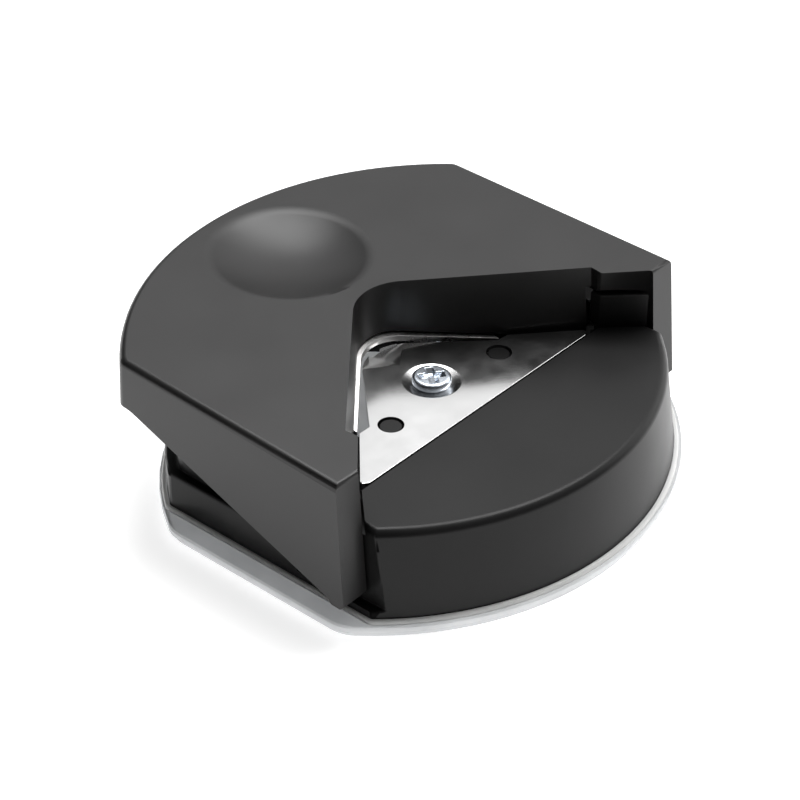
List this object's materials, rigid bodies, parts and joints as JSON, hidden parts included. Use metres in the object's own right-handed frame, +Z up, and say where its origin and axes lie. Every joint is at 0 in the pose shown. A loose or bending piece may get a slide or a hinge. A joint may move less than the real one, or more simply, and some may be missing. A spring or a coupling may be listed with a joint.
{
  "type": "corner rounder",
  "caption": "Palm-sized corner rounder: a hinged press lever drives a steel punch past a fixed die plate to round a card's corner, over a removable chip tray.",
  "frame": {"origin": "middle of the overall box, on the surface that the chip tray rests on", "axes": "+Z up, -Y towards the side where the card goes in, +Y towards the thumb dish, +X to the right seen from the front"},
  "size_m": [0.0626, 0.0646, 0.0224],
  "materials": {
    "black_plastic": "satin moulded black ABS",
    "tray_plastic": "clear grey moulded plastic",
    "die_steel": "polished sheet steel with fine brush lines",
    "punch_steel": "ground steel",
    "zinc_screws": "bright zinc plating",
    "axle_steel": "drawn steel pin",
    "spring_steel": "drawn spring wire"
  },
  "bodies": {
    "base": {"base_housing": "black_plastic", "die_plate": "die_steel", "die_screw": "zinc_screws", "return_spring_left": "spring_steel", "return_spring_right": "spring_steel"},
    "lever": {"lever_cover": "black_plastic", "pivot_axle": "axle_steel", "punch_blade": "punch_steel", "blade_screw_left": "zinc_screws", "blade_screw_right": "zinc_screws", "blade_screw_rear": "zinc_screws", "stop_washer": "zinc_screws", "stop_screw": "zinc_screws"},
    "tray": {"chip_tray": "tray_plastic"}
  },
  "joints": [
    {"name": "press", "type": "hinge", "parent": "base", "child": "lever", "pos_m": [0, -0.01364, 0.0102], "axis": [-1, 0, 0], "range_deg": [0, 7.5], "stiffness_Nm_per_rad": 1.2, "springref_deg": -4.01, "deforming": ["return_spring_left", "return_spring_right"]},
    {"name": "tray_off", "type": "slide", "parent": "base", "child": "tray", "axis": [0, 0, -1], "range_m": [0, 0.012]}
  ]
}
